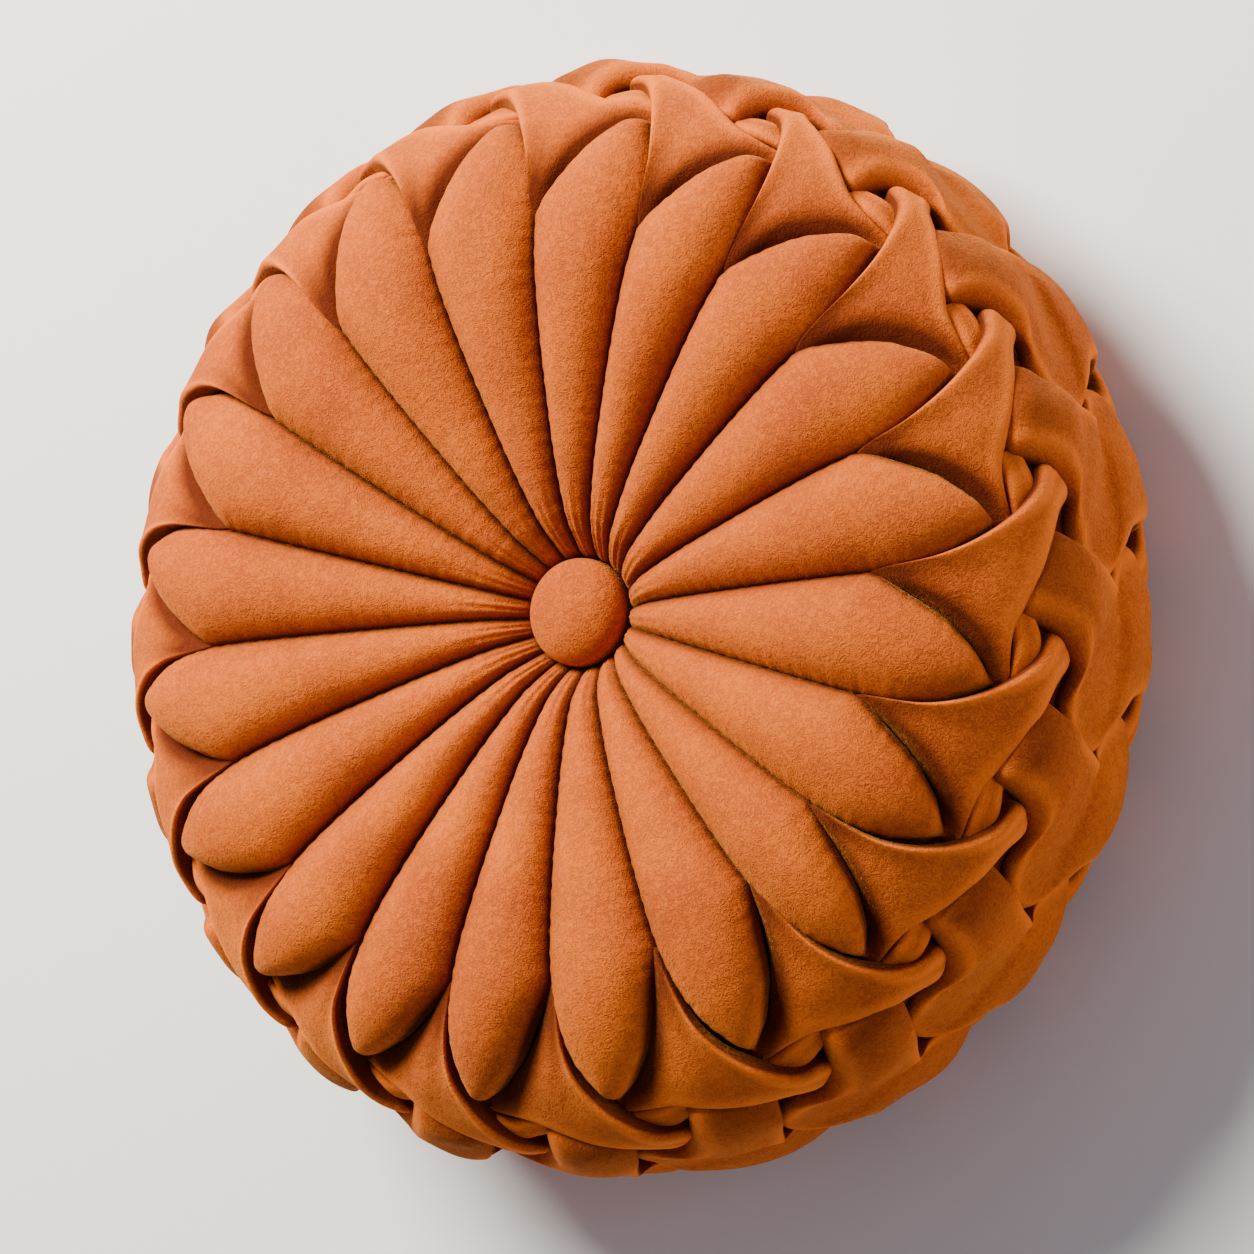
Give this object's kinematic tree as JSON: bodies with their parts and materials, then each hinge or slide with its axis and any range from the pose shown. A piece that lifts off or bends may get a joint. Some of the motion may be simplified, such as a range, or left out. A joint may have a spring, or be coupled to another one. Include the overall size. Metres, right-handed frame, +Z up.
{
  "type": "round pleated cushion",
  "caption": "Round plush velvet cushion in burnt orange, with petal pleats gathered at a covered button and a smocked lattice of folds round its side.",
  "frame": {"origin": "middle of the resting face, on the surface that the cushion lies on", "axes": "+Z up out of the cushion's face, through both buttons; +X to the right of the face in the picture"},
  "size_m": [0.3804, 0.3804, 0.1365],
  "materials": {
    "velvet": "short plush pile with a soft sheen at its folds",
    "button_velvet": "short plush pile stretched over a domed button"
  },
  "bodies": {
    "root": {"cushion_cover": "velvet", "front_button": "button_velvet", "back_button": "button_velvet"}
  },
  "joints": []
}
